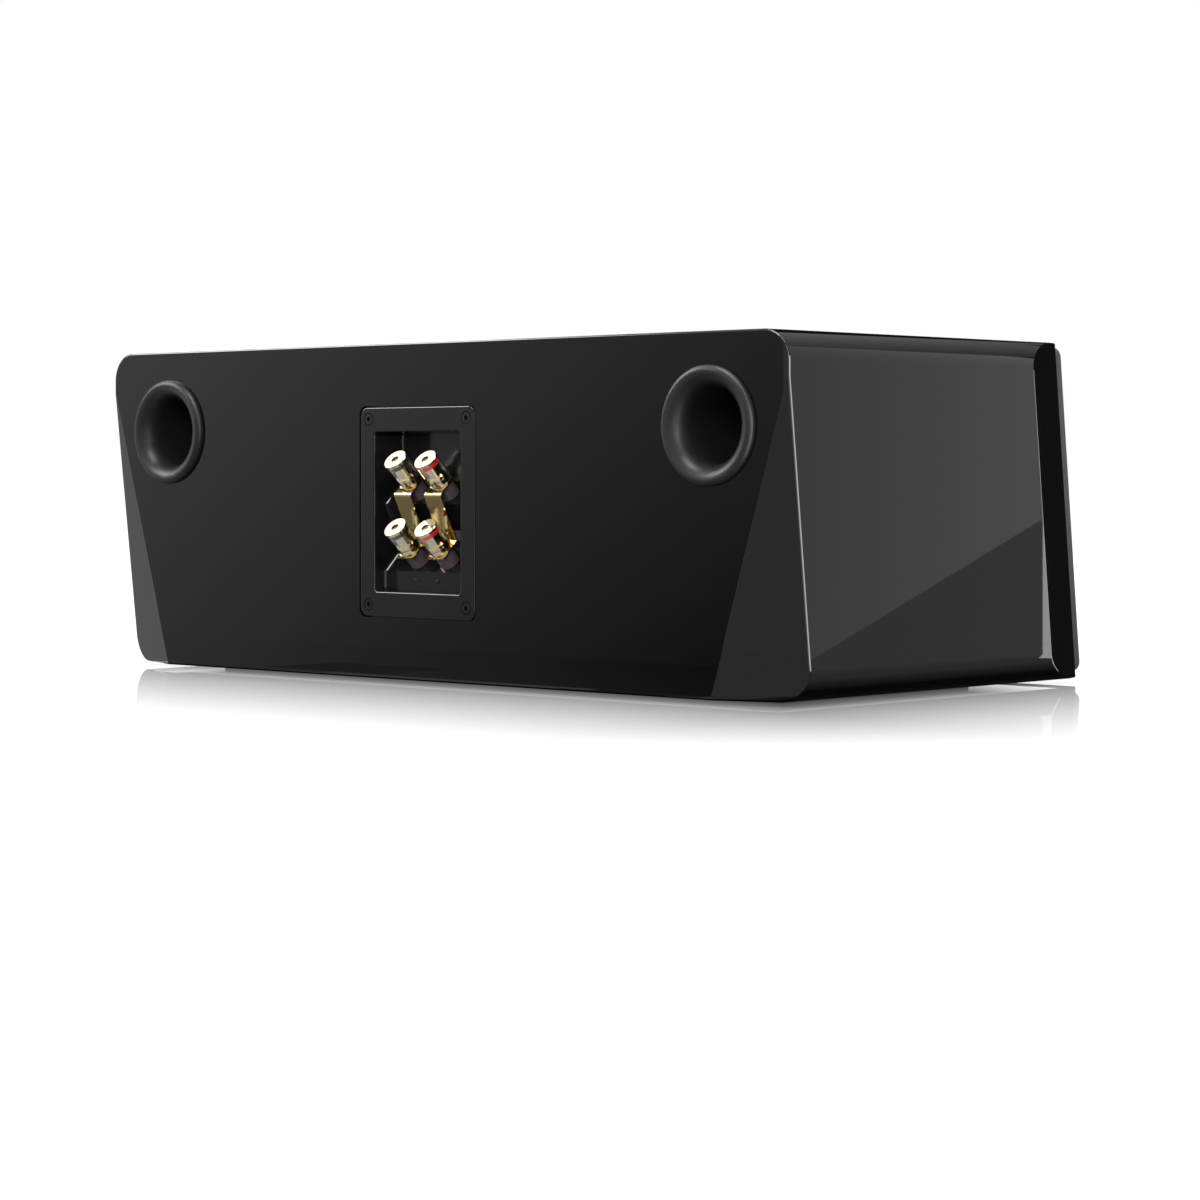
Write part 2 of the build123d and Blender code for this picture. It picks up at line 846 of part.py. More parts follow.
def motor(d):
    """Top plate, ring magnet and yoke with its vented pole, stacked behind the basket."""
    top = -d.basket_depth
    magnet_top = top - d.plate
    magnet_low = magnet_top - d.magnet_height
    gap = d.coil_radius + d.winding + d.coil_gap
    pole = d.coil_radius - d.former - d.coil_gap
    plate = ring(gap, d.plate_radius, magnet_top, top)
    magnet = ring(d.magnet_bore, d.magnet_radius, magnet_low, magnet_top)
    yoke = turned(
        profile(
            (d.vent_radius, top),
            (pole, top),
            (pole, magnet_low),
            (d.plate_radius, magnet_low),
            (d.plate_radius, magnet_low - d.plate),
            (d.vent_radius, magnet_low - d.plate),
        )
    )
    return [plate, magnet, yoke]


def surround(d):
    """Half-roll rubber surround from the basket's seat to the cone's lip."""
    base = -d.seat_depth
    roll_middle = d.cone_radius + d.roll_radius
    roll = Pos(roll_middle, base) * (Circle(d.roll_radius) - Circle(d.roll_radius - d.rubber))
    upper = Pos(roll_middle, base) * Rectangle(
        2 * d.roll_radius, 2 * d.roll_radius, align=(Align.CENTER, Align.MIN)
    )
    outer = Pos(d.roll_outer - d.rubber, base) * Rectangle(
        d.lip_width + d.rubber - d.glue, d.rubber, align=(Align.MIN, Align.MIN)
    )
    inner = Pos(d.cone_radius - d.cone_lip, base) * Rectangle(
        d.cone_lip + d.rubber, d.rubber, align=(Align.MIN, Align.MIN)
    )
    return turned((roll & upper) + outer + inner)


def cone(d):
    """Straight-sided cone with a flat lip under the surround and a neck on the coil former."""
    edge = d.cone_radius - d.cone_lip
    base = -d.seat_depth
    bore = d.coil_radius + d.glue
    return turned(
        profile(
            (d.cone_radius, base),
            (edge, base),
            (bore, d.neck_top),
            (bore, d.neck),
            (edge, base - d.paper),
            (d.cone_radius, base - d.paper),
        )
    )


def cap_shell(radius, rise, thickness):
    """Thin domed shell that stands on the local XY plane."""
    sphere = (radius**2 + rise**2) / (2 * rise)
    rim = Pos(0, rise - sphere) * (Circle(sphere) - Circle(sphere - thickness))
    half = Rectangle(radius, rise, align=(Align.MIN, Align.MIN))
    return turned(rim & half)


def dust_cap(d):
    """Domed cap glued on the cone over the voice coil."""
    return Pos(0, 0, d.cone_height(d.cap_radius) + d.glue) * cap_shell(d.cap_radius, d.cap_rise, d.paper)


def voice_coil(d):
    """Coil former with its winding, centred in the gap of the top plate."""
    middle = -d.basket_depth - d.plate / 2
    low = middle - d.winding_length / 2
    former_top = d.neck_top + d.glue
    inner = d.coil_radius - d.former
    return turned(
        profile(
            (inner, low),
            (d.coil_radius + d.winding, low),
            (d.coil_radius + d.winding, low + d.winding_length),
            (d.coil_radius, low + d.winding_length),
            (d.coil_radius, former_top),
            (inner, former_top),
        )
    )


def spider(d):
    """Corrugated cloth disc that centres the coil former on the basket's ledge."""
    ledge_inner = d.spider_radius - d.spider_ledge
    start = d.coil_radius + d.glue
    base = -d.spider_depth
    flat = start + d.spider_cloth
    count = 2 * d.spider_waves
    step = (ledge_inner - flat) / count
    wave = [(flat + i * step, base + d.spider_wave * (i % 2)) for i in range(count + 1)]
    lower = [(start, base)] + wave + [(d.spider_radius - d.glue, base)]
    upper = [(r, h + d.spider_cloth) for r, h in reversed(lower)]
    return turned(profile(*lower, *upper))


def tweeter_faceplate():
    """Round faceplate with a curved flare down to the dome."""
    back = -tweeter_thickness
    drop = tweeter_thickness - dome_thickness
    run = tweeter_flare_radius - tweeter_mouth_radius
    outline = make_face(
        [
            Polyline(
                (tweeter_flare_radius, 0),
                (tweeter_radius, 0),
                (tweeter_radius, back),
                (tweeter_mouth_radius, back),
                (tweeter_mouth_radius, -drop),
            ),
            EllipticalCenterArc((tweeter_flare_radius, -drop), run, drop, 90, arc_size=90),
        ]
    )
    return frame_holes(turned(outline), Location(), tweeter_screw_circle, tweeter_screws)


def tweeter_dome():
    """Metal dome with the flat flange that is clamped behind the faceplate."""
    low = -tweeter_thickness - dome_thickness
    flange = ring(dome_radius - 2 * dome_thickness, dome_flange, low, -tweeter_thickness)
    return flange + Pos(0, 0, low) * cap_shell(dome_radius, dome_rise, dome_thickness)


def tweeter_motor():
    """Closed magnet pot behind the tweeter's faceplate, dished under the dome."""
    top = -tweeter_thickness - dome_thickness
    pot = disc(tweeter_motor_radius, top - tweeter_motor_height, top)
    return pot - disc(tweeter_pole_radius, top - tweeter_pole_dip, top + cut_margin)


def board_place(x, along, up=0.0):
    """Place on top of the crossover board: x, along the depth from its middle, and up."""
    top = foot_height + wall + board_thickness
    return Pos(x, rear_y - board_depth + along, top + up)


def crossover_board():
    """Board that lies on the floor of the middle chamber."""
    return board_place(0, 0) * Box(
        board_width, board_length, board_thickness, align=(Align.CENTER, Align.CENTER, Align.MAX)
    )


def crossover_coils():
    """Two air-core coils that stand flat on the board."""
    coil = ring(coil_bore, coil_radius, 0, coil_height)
    return [board_place(side * coil_spacing / 2, component_row) * coil for side in sides.values()]


def crossover_capacitors():
    """Row of film capacitors that lie on the board."""
    can = Rot(90, 0, 0) * Cylinder(capacitor_radius, capacitor_length)
    up = capacitor_radius + component_gap
    first = -(capacitors - 1) / 2
    return [
        board_place((first + i) * capacitor_spacing, capacitor_row, up) * can for i in range(capacitors)
    ]


def crossover_resistors():
    """Ceramic resistors that lie across the front end of the board."""
    bar = Box(resistor_length, resistor_side, resistor_side, align=(Align.CENTER, Align.CENTER, Align.MIN))
    along = capacitor_row - capacitor_length / 2 - resistor_side
    return [board_place(side * resistor_spacing / 2, along) * bar for side in sides.values()]


def build():
    """Every node's solid or group of solids by name."""
    nodes = {
        "cabinet": cabinet(),
        "front_baffle": front_baffle(),
        "feet": feet(),
        "terminal_cup": terminal_cup(),
        "terminal_gasket": terminal_gasket(),
        "terminal_screws": [place * plate_screw() for place in plate_screw_places()],
        "grille_frame": grille_frame(),
        "grille_cloth": grille_cloth(),
        "grille_sockets": [place * peg_socket() for place in peg_places()],
        "crossover_board": crossover_board(),
        "crossover_coils": crossover_coils(),
        "crossover_capacitors": crossover_capacitors(),
        "crossover_resistors": crossover_resistors(),
    }
    for name, side in sides.items():
        nodes[f"{name}_partition"] = partition(side)
        place = rear_place(side * port_x, foot_height + port_height - middle_z)
        nodes[f"{name}_port"] = [place * piece for piece in port()]
    posts = post_places()
    nodes["post_studs"] = [place * post_stud() for place in posts.values()]
    nodes["post_bushes"] = [place * post_bush() for place in posts.values()]
    nodes["post_nuts"] = [place * post_nut() for place in posts.values()]
    for name, place in posts.items():
        nodes[f"{name}_knob_core"] = [place * piece for piece in knob_core()]
        nodes[f"{name}_knob_sleeve"] = place * knob_sleeve()
        nodes[f"{name}_knob_ring"] = place * knob_ring()
    for pole in poles:
        nodes[f"{pole}_jumper"] = jumper(pole)
    screws = []
    for name, driver, place in driver_places():
        nodes[f"{name}_basket"] = place * basket(driver)
        nodes[f"{name}_motor"] = [place * piece for piece in motor(driver)]
        nodes[f"{name}_spider"] = place * spider(driver)
        nodes[f"{name}_surround"] = place * surround(driver)
        nodes[f"{name}_cone"] = place * cone(driver)
        nodes[f"{name}_dust_cap"] = place * dust_cap(driver)
        nodes[f"{name}_voice_coil"] = place * voice_coil(driver)
        screws += screw_places(place, driver.screw_circle, driver.screws)
    tweeter_place = front_place(0, tweeter_up)
    nodes["tweeter_faceplate"] = tweeter_place * tweeter_faceplate()
    nodes["tweeter_dome"] = tweeter_place * tweeter_dome()
    nodes["tweeter_motor"] = tweeter_place * tweeter_motor()
    screws += screw_places(tweeter_place, tweeter_screw_circle, tweeter_screws)
    nodes["driver_screws"] = [place * driver_screw() for place in screws]
    return nodes


os.makedirs("parts", exist_ok=True)
for node, shape in build().items():
    if isinstance(shape, list):
        shape = Compound([solid for piece in shape for solid in piece.solids()])
    export_step(shape, f"parts/{node}.step")
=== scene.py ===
import json
import logging
from collections.abc import Callable
from dataclasses import dataclass
from enum import Enum
from math import asin, pi, radians, tau
from typing import Any, ClassVar

import bpy
from mathutils import Matrix, Vector


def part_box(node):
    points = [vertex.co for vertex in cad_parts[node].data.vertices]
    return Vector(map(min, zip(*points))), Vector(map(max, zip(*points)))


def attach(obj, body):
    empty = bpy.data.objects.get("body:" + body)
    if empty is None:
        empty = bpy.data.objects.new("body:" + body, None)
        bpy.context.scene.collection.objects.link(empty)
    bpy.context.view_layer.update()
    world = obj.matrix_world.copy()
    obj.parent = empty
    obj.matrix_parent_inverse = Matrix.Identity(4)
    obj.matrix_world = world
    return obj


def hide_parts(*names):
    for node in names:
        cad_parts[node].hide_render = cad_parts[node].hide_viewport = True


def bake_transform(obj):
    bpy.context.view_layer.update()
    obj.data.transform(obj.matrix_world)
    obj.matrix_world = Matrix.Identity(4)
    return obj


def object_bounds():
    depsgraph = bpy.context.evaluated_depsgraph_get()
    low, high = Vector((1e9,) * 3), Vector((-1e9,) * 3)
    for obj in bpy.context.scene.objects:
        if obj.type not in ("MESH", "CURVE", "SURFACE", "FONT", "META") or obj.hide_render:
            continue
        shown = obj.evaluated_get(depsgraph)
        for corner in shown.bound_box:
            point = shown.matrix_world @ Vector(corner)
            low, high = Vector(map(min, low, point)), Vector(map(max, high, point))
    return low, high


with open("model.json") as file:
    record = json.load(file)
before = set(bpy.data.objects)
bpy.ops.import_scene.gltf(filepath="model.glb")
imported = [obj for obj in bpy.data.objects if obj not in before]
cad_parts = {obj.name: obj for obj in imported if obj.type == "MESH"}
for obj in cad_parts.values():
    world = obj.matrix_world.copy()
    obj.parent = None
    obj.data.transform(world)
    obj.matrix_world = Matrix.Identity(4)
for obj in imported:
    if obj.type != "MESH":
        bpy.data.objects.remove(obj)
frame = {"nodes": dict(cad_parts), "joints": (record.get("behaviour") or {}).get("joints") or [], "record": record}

LOG = logging.getLogger("center_speaker")
CAD_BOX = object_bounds()
MM = 0.001
WHITE = (1.0, 1.0, 1.0, 1.0)

# Sockets of Blender's mix node that carry colours.
MIX_SHARE, MIX_FIRST, MIX_SECOND, MIX_RESULT = 0, 6, 7, 2
# Fine detail of the noise and wave textures.
GRAIN_DETAIL, GRAIN_ROUGHNESS = 3.0, 0.6
WAVE_DETAIL, WAVE_DISTORTION = 1.0, 0.4
# Blender multiplies places by this before it takes the sine of a wave texture.
WAVE_FACTOR = 20


class Pick(Enum):
    """What an edit-mode selection picks."""

    POINTS = "VERT"
    EDGES = "EDGE"
    FACES = "FACE"


class Pattern(Enum):
    """How the fine detail of a surface was made."""

    GRAIN = "grain"
    DIMPLES = "dimples"
    WEAVE = "weave"
    TURNED = "turned"


class Coordinates(Enum):
    """What a pattern is laid out on."""

    SOLID = "Object"
    CLOTH = "UV"


def linear(colour: str) -> tuple[float, float, float, float]:
    """Turns an sRGB hex colour into linear light.

    Args:
        colour: Colour as #rrggbb.

    Returns:
        Linear red, green and blue with full alpha.
    """
    channels = [int(colour[i : i + 2], 16) / 255 for i in (1, 3, 5)]
    light = [c / 12.92 if c <= 0.04045 else ((c + 0.055) / 1.055) ** 2.4 for c in channels]
    return light[0], light[1], light[2], 1.0


def add_node(
    tree: bpy.types.NodeTree,
    kind: str,
    sockets: dict[str | int, Any] | None = None,
    **settings: Any,
) -> bpy.types.Node:
    """Adds a node with its settings, socket values and links.

    Args:
        tree: Node tree that gets the node.
        kind: Blender's name for the type of node.
        sockets: Input socket to its value, or to the output that is linked to it.
        settings: Properties of the node itself.

    Returns:
        The new node.
    """
    node = tree.nodes.new(kind)
    for name, value in settings.items():
        setattr(node, name, value)
    for name, value in (sockets or {}).items():
        if isinstance(value, bpy.types.NodeSocket):
            tree.links.new(value, node.inputs[name])
        else:
            node.inputs[name].default_value = value
    return node


def empty_tree(owner: bpy.types.Material | bpy.types.World) -> bpy.types.NodeTree:
    """Gives a material or world a node tree with nothing in it.

    Args:
        owner: Material or world to prepare.

    Returns:
        Its node tree.
    """
    owner.use_nodes = True
    owner.node_tree.nodes.clear()
    return owner.node_tree


def calculate(
    tree: bpy.types.NodeTree, operation: str, first: Any, second: Any
) -> bpy.types.NodeSocket:
    """Adds a node that works out one value from two.

    Args:
        tree: Node tree that gets the node.
        operation: Blender's name for the operation.
        first: First value, or the output that gives it.
        second: Second value, or the output that gives it.

    Returns:
        Output with the result.
    """
    return add_node(tree, "ShaderNodeMath", {0: first, 1: second}, operation=operation).outputs[0]


def calculate_vector(
    tree: bpy.types.NodeTree, operation: str, *vectors: Any, output: str = "Vector"
) -> bpy.types.NodeSocket:
    """Adds a node that works out a vector or a value from one or two vectors.

    Args:
        tree: Node tree that gets the node.
        operation: Blender's name for the operation.
        vectors: Vectors, or the outputs that give them.
        output: Output that is wanted, Vector or Value.

    Returns:
        Output with the result.
    """
    sockets = dict(enumerate(vectors))
    return add_node(tree, "ShaderNodeVectorMath", sockets, operation=operation).outputs[output]


@dataclass(frozen=True)
class Finish:
    """Procedural finish of a material slot: a pattern varies its colour, gloss and relief."""

    slot: str
    colour: str
    second: str
    roughness: tuple[float, float]
    pattern: Pattern
    pitch_mm: float
    relief_mm: float
    metallic: float = 0.0
    ior: float = 1.5
    transmission: float = 0.0
    coat: float = 0.0
    sheen: float = 0.0
    turn: tuple[float, float, float] = (0.0, 0.0, 0.0)
    stretch: tuple[float, float, float] = (1.0, 1.0, 1.0)
    coordinates: Coordinates = Coordinates.SOLID

    def material(self) -> bpy.types.Material:
        """Builds the material.

        Returns:
            A principled material named after the slot.
        """
        material = bpy.data.materials.new(f"{self.slot}_finish")
        tree = empty_tree(material)
        place = add_node(tree, "ShaderNodeTexCoord").outputs[self.coordinates.value]
        place = add_node(
            tree,
            "ShaderNodeMapping",
            {"Vector": place, "Rotation": [radians(a) for a in self.turn], "Scale": self.stretch},
        ).outputs["Vector"]
        height = self.detail(tree, place)
        tone = add_node(
            tree,
            "ShaderNodeMix",
            {
                MIX_SHARE: height,
                MIX_FIRST: linear(self.second),
                MIX_SECOND: linear(self.colour),
            },
            data_type="RGBA",
        )
        gloss = add_node(
            tree,
            "ShaderNodeMapRange",
            {"Value": height, "To Min": self.roughness[1], "To Max": self.roughness[0]},
        )
        relief = add_node(
            tree,
            "ShaderNodeBump",
            {"Strength": 1.0, "Distance": self.relief_mm * MM, "Height": height},
        )
        shader = add_node(
            tree,
            "ShaderNodeBsdfPrincipled",
            {
                "Base Color": tone.outputs[MIX_RESULT],
                "Roughness": gloss.outputs["Result"],
                "Normal": relief.outputs["Normal"],
                "Metallic": self.metallic,
                "IOR": self.ior,
                "Transmission Weight": self.transmission,
                "Coat Weight": self.coat,
                "Sheen Weight": self.sheen,
            },
        )
        add_node(tree, "ShaderNodeOutputMaterial", {"Surface": shader.outputs["BSDF"]})
        return material

    def detail(self, tree: bpy.types.NodeTree, place: bpy.types.NodeSocket) -> bpy.types.NodeSocket:
        """Adds the pattern, from 0 in its hollows to 1 on its crests.

        Args:
            tree: Node tree of the material.
            place: Output that gives each point's place.

        Returns:
            Output that gives the height of the pattern.
        """
        pitch = self.pitch_mm * MM
        if self.pattern is Pattern.GRAIN:
            sockets = {
                "Vector": place,
                "Scale": 1 / pitch,
                "Detail": GRAIN_DETAIL,
                "Roughness": GRAIN_ROUGHNESS,
            }
            return add_node(tree, "ShaderNodeTexNoise", sockets).outputs[0]
        if self.pattern is Pattern.DIMPLES:
            sockets = {"Vector": place, "Scale": 1 / pitch}
            cells = add_node(tree, "ShaderNodeTexVoronoi", sockets, feature="SMOOTH_F1")
            return cells.outputs["Distance"]
        sockets = {
            "Vector": place,
            "Scale": tau / (WAVE_FACTOR * pitch),
            "Distortion": WAVE_DISTORTION,
            "Detail": WAVE_DETAIL,
        }
        if self.pattern is Pattern.TURNED:
            return add_node(tree, "ShaderNodeTexWave", sockets, bands_direction="Z").outputs[1]
        across = "Y" if self.coordinates is Coordinates.CLOTH else "Z"
        warp = add_node(tree, "ShaderNodeTexWave", sockets, bands_direction="X")
        weft = add_node(tree, "ShaderNodeTexWave", sockets, bands_direction=across)
        return calculate(tree, "MULTIPLY", warp.outputs[1], weft.outputs[1])


# Turns that lay a pattern along the sloping posts and along the drivers' axes.
POST_TURN = (45.0, 0.0, 0.0)
DRIVER_TURN = (-83.88, 0.0, 0.0)

FINISHES = [
    # Polyester lacquer, sprayed and polished: black, mirror smooth, with a faint haze.
    Finish(
        "gloss_lacquer", "#070708", "#050506", (0.02, 0.05), Pattern.GRAIN, 35, 0.0002,
        ior=1.52,
    ),
    # Fibreboard under a rolled matt paint: dull black with a fine stipple.
    Finish("painted_board", "#1a1a1b", "#111112", (0.55, 0.7), Pattern.GRAIN, 0.9, 0.03),
    # Bare fibreboard: pale brown felted fibres.
    Finish("raw_board", "#a98862", "#8c6b49", (0.75, 0.92), Pattern.GRAIN, 1.4, 0.04),
    # Moulded rubber: dark and dull.
    Finish("foot_rubber", "#1d1d1e", "#141415", (0.7, 0.85), Pattern.GRAIN, 0.6, 0.02),
    # Moulded ABS: satin black with a fine spark texture on the ports, smoother on the cup.
    Finish(
        "port_plastic", "#1c1c1d", "#171718", (0.34, 0.44), Pattern.GRAIN, 0.7, 0.006,
        ior=1.34,
    ),
    Finish("cup_plastic", "#131314", "#0f0f10", (0.08, 0.15), Pattern.GRAIN, 0.8, 0.003),
    # Closed-cell foam: dull, with tiny open pores.
    Finish("gasket_foam", "#2a2a2b", "#1d1d1e", (0.85, 0.95), Pattern.DIMPLES, 0.8, 0.1),
    # Steel with a black oxide skin: dark with a soft metal gleam.
    Finish(
        "black_screw", "#2c2c2f", "#212124", (0.32, 0.46), Pattern.GRAIN, 0.5, 0.004,
        metallic=0.8,
    ),
    # Brass, turned and nickel plated: bright and warm, with the faint rings of the tool.
    Finish(
        "nickel_plate", "#dfd3b6", "#cbbc99", (0.05, 0.12), Pattern.TURNED, 0.35, 0.003,
        metallic=1.0, turn=POST_TURN,
    ),
    # Moulded nylon: dark, with a soft gloss.
    Finish("bush_plastic", "#5c5156", "#493f44", (0.12, 0.22), Pattern.GRAIN, 1.0, 0.004),
    # Zinc plated steel: grey and slightly mottled.
    Finish(
        "plain_steel", "#b9bbbd", "#a3a5a8", (0.28, 0.42), Pattern.GRAIN, 2.0, 0.004,
        metallic=1.0,
    ),
    # Stamped strip, gold plated: warm yellow with fine rolling lines along it.
    Finish(
        "gold_plate", "#ead39c", "#d8b672", (0.1, 0.18), Pattern.GRAIN, 0.6, 0.003,
        metallic=1.0, stretch=(1.0, 0.12, 0.12),
    ),
    # Moulded clear acrylic: glassy.
    Finish(
        "clear_plastic", "#fbfcfc", "#f2f5f5", (0.01, 0.04), Pattern.GRAIN, 3.0, 0.001,
        ior=1.49, transmission=1.0,
    ),
    # Moulded colour rings.
    Finish("red_plastic", "#d81c20", "#c0151a", (0.25, 0.36), Pattern.GRAIN, 0.8, 0.004),
    # The black ring is dark like the real ring. Its olive tint is a painted reflection of the warm metal it
    # mirrors through the sleeve.
    Finish("black_plastic", "#2b2a24", "#21201b", (0.3, 0.42), Pattern.GRAIN, 0.8, 0.004),
    # Acoustic cloth, polyester: open black threads with dark gaps.
    Finish(
        "grille_fabric", "#4c4c4f", "#161617", (0.85, 0.95), Pattern.WEAVE, 1.1, 0.25,
        sheen=0.15, coordinates=Coordinates.CLOTH,
    ),
    # Cast aluminium with a black powder coat: an even pebbled skin.
    Finish("cast_frame", "#232325", "#19191b", (0.48, 0.62), Pattern.DIMPLES, 1.1, 0.05),
    # Black plated steel and fired ferrite: dark grey with a dry grain.
    Finish(
        "motor_steel", "#343437", "#262629", (0.4, 0.58), Pattern.GRAIN, 0.7, 0.02,
        metallic=0.4,
    ),
    # Cotton cloth stiffened with resin: yellow brown open weave.
    Finish("spider_cloth", "#bd943f", "#80602a", (0.75, 0.9), Pattern.WEAVE, 1.2, 0.2),
    # Moulded butyl rubber: soft black with a low sheen.
    Finish(
        "surround_rubber", "#161617", "#101011", (0.46, 0.58), Pattern.GRAIN, 0.6, 0.01,
        sheen=0.05,
    ),
    # Woven glass fibre in black resin, pressed: a plain weave under a thin gloss. Plain caps.
    Finish("cone_fibre", "#47474a", "#1c1c1e", (0.3, 0.46), Pattern.WEAVE, 2.2, 0.08, coat=0.25),
    Finish("cap_fibre", "#29292b", "#1f1f21", (0.32, 0.44), Pattern.GRAIN, 0.9, 0.01),
    # Enamelled copper wire wound in close turns.
    Finish(
        "coil_former", "#c07a3a", "#7a4720", (0.25, 0.4), Pattern.TURNED, 0.4, 0.08,
        metallic=1.0, turn=DRIVER_TURN,
    ),
    # Aluminium, satin black anodised, and the bare anodised dome.
    Finish(
        "face_metal", "#232326", "#1a1a1c", (0.34, 0.46), Pattern.GRAIN, 0.5, 0.006,
        metallic=0.5,
    ),
    Finish(
        "dome_metal", "#c9cacd", "#babbbe", (0.24, 0.36), Pattern.GRAIN, 1.5, 0.002,
        metallic=1.0,
    ),
    # Glass epoxy board under green solder resist, and wound copper.
    Finish("circuit_board", "#1d4a26", "#153a1c", (0.32, 0.46), Pattern.WEAVE, 1.0, 0.01),
    Finish(
        "coil_copper", "#bd6f38", "#6f3d1b", (0.22, 0.38), Pattern.TURNED, 0.9, 0.2,
        metallic=1.0,
    ),
    # Film capacitor in a wrapped plastic skin, and a cement resistor body.
    Finish("film_capacitor", "#a83d2d", "#8d3022", (0.28, 0.4), Pattern.GRAIN, 4.0, 0.01),
    Finish("ceramic", "#dad5c6", "#c6c0ae", (0.75, 0.9), Pattern.GRAIN, 0.9, 0.05),
]


def select(obj: bpy.types.Object, pick: Pick, test: Callable[[Vector], bool]) -> None:
    """Selects in edit mode what passes a test of its middle, and leaves the piece in edit mode.

    Args:
        obj: Piece that is being modelled.
        pick: Whether points, edges or faces are picked.
        test: Says of a place whether it is wanted.
    """
    bpy.ops.object.mode_set(mode="EDIT")
    bpy.ops.mesh.select_mode(type=pick.value)
    bpy.ops.mesh.select_all(action="DESELECT")
    bpy.ops.object.mode_set(mode="OBJECT")
    mesh = obj.data
    if pick is Pick.POINTS:
        for point in mesh.vertices:
            point.select = test(point.co)
    elif pick is Pick.EDGES:
        for edge in mesh.edges:
            a, b = edge.vertices
            edge.select = test((mesh.vertices[a].co + mesh.vertices[b].co) / 2)
    else:
        for face in mesh.polygons:
            face.select = test(face.center)
    bpy.ops.object.mode_set(mode="EDIT")


def extrude(value: tuple[float, float, float]) -> None:
    """Extrudes what is selected in edit mode by a step."""
    bpy.ops.mesh.extrude_region_move(TRANSFORM_OT_translate={"value": value})


def new_piece(name: str) -> bpy.types.Object:
    """Names the primitive just added and puts its place into its mesh.

    Args:
        name: Name of the piece.

    Returns:
        The piece, in object mode.
    """
    piece = bpy.context.active_object
    piece.name = piece.data.name = name
    bpy.ops.object.transform_apply(location=True, rotation=True, scale=True)
    return piece


def add_modifier(piece: bpy.types.Object, kind: str, **settings: Any) -> None:
    """Adds a modifier to a piece and applies it.

    Args:
        piece: Piece in object mode.
        kind: Blender's name for the type of modifier.
        settings: Properties of the modifier.
    """
    modifier = piece.modifiers.new(kind.lower(), kind)
    for name, value in settings.items():
        setattr(modifier, name, value)
    bpy.context.view_layer.objects.active = piece
    bpy.ops.object.modifier_apply(modifier=modifier.name)


def tidy_mesh(piece: bpy.types.Object, merge: float = 0.00001) -> None:
    """Merges doubled points, turns the faces outwards and goes back to object mode.

    Args:
        piece: Piece that is being modelled.
        merge: Distance within which points are one.
    """
    bpy.context.view_layer.objects.active = piece
    bpy.ops.object.mode_set(mode="EDIT")
    bpy.ops.mesh.select_all(action="SELECT")
    bpy.ops.mesh.remove_doubles(threshold=merge)
    bpy.ops.mesh.normals_make_consistent(inside=False)
    bpy.ops.object.mode_set(mode="OBJECT")


def smooth(piece: bpy.types.Object, angle: float = 35.0) -> None:
    """Shades a piece smooth except across sharp edges.

    Args:
        piece: Piece in object mode.
        angle: Angle in degrees from which an edge is sharp.
    """
    bpy.ops.object.select_all(action="DESELECT")
    piece.select_set(True)
    bpy.context.view_layer.objects.active = piece
    bpy.ops.object.shade_smooth_by_angle(angle=radians(angle))
    bpy.ops.object.select_all(action="DESELECT")


def dress(piece: bpy.types.Object, slot: str) -> None:
    """Gives a piece the finish of a material slot.

    Args:
        piece: New piece or CAD node.
        slot: Slot of the record.
    """
    piece.data.materials.clear()
    piece.data.materials.append(bpy.data.materials[f"{slot}_finish"])


class PackedNodes:
    """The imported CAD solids, which keep their shape and get their finishes here."""

    def dress(self) -> None:
        """Builds every finish and gives it to the nodes of its slot."""
        for finish in FINISHES:
            finish.material()
        for subpart in frame["record"]["subparts"]:
            dress(frame["nodes"][subpart["node"]], subpart["material_slot"])
            LOG.info("dressed %s as %s", subpart["node"], subpart["material_slot"])


def front_axis() -> Vector:
    """Direction out of the leaning front, along which the grille is pulled."""
    pull = next(joint for joint in frame["joints"] if joint["name"] == "grille_pull")
    return Vector(pull["axis"]).normalized()


def front_place(node: str) -> tuple[Matrix, float, float]:
    """Works out where a node stands on the leaning front.

    Args:
        node: CAD node that is round or square about the front's own direction.

    Returns:
        Its place, with Z out of the front and the origin level with its back, then its depth and
        half width.
    """
    out = front_axis()
    across = Vector((1, 0, 0))
    up = out.cross(across)
    points = [vertex.co for vertex in frame["nodes"][node].data.vertices]
    reach = [[axis.dot(point) for point in points] for axis in (across, up, out)]
    middle = [(min(r) + max(r)) / 2 for r in reach[:2]] + [min(reach[2])]
    place = Matrix((across, up, out)).transposed().to_4x4()
    place.translation = place.to_3x3() @ Vector(middle)
    return place, max(reach[2]) - min(reach[2]), (max(reach[0]) - min(reach[0])) / 2


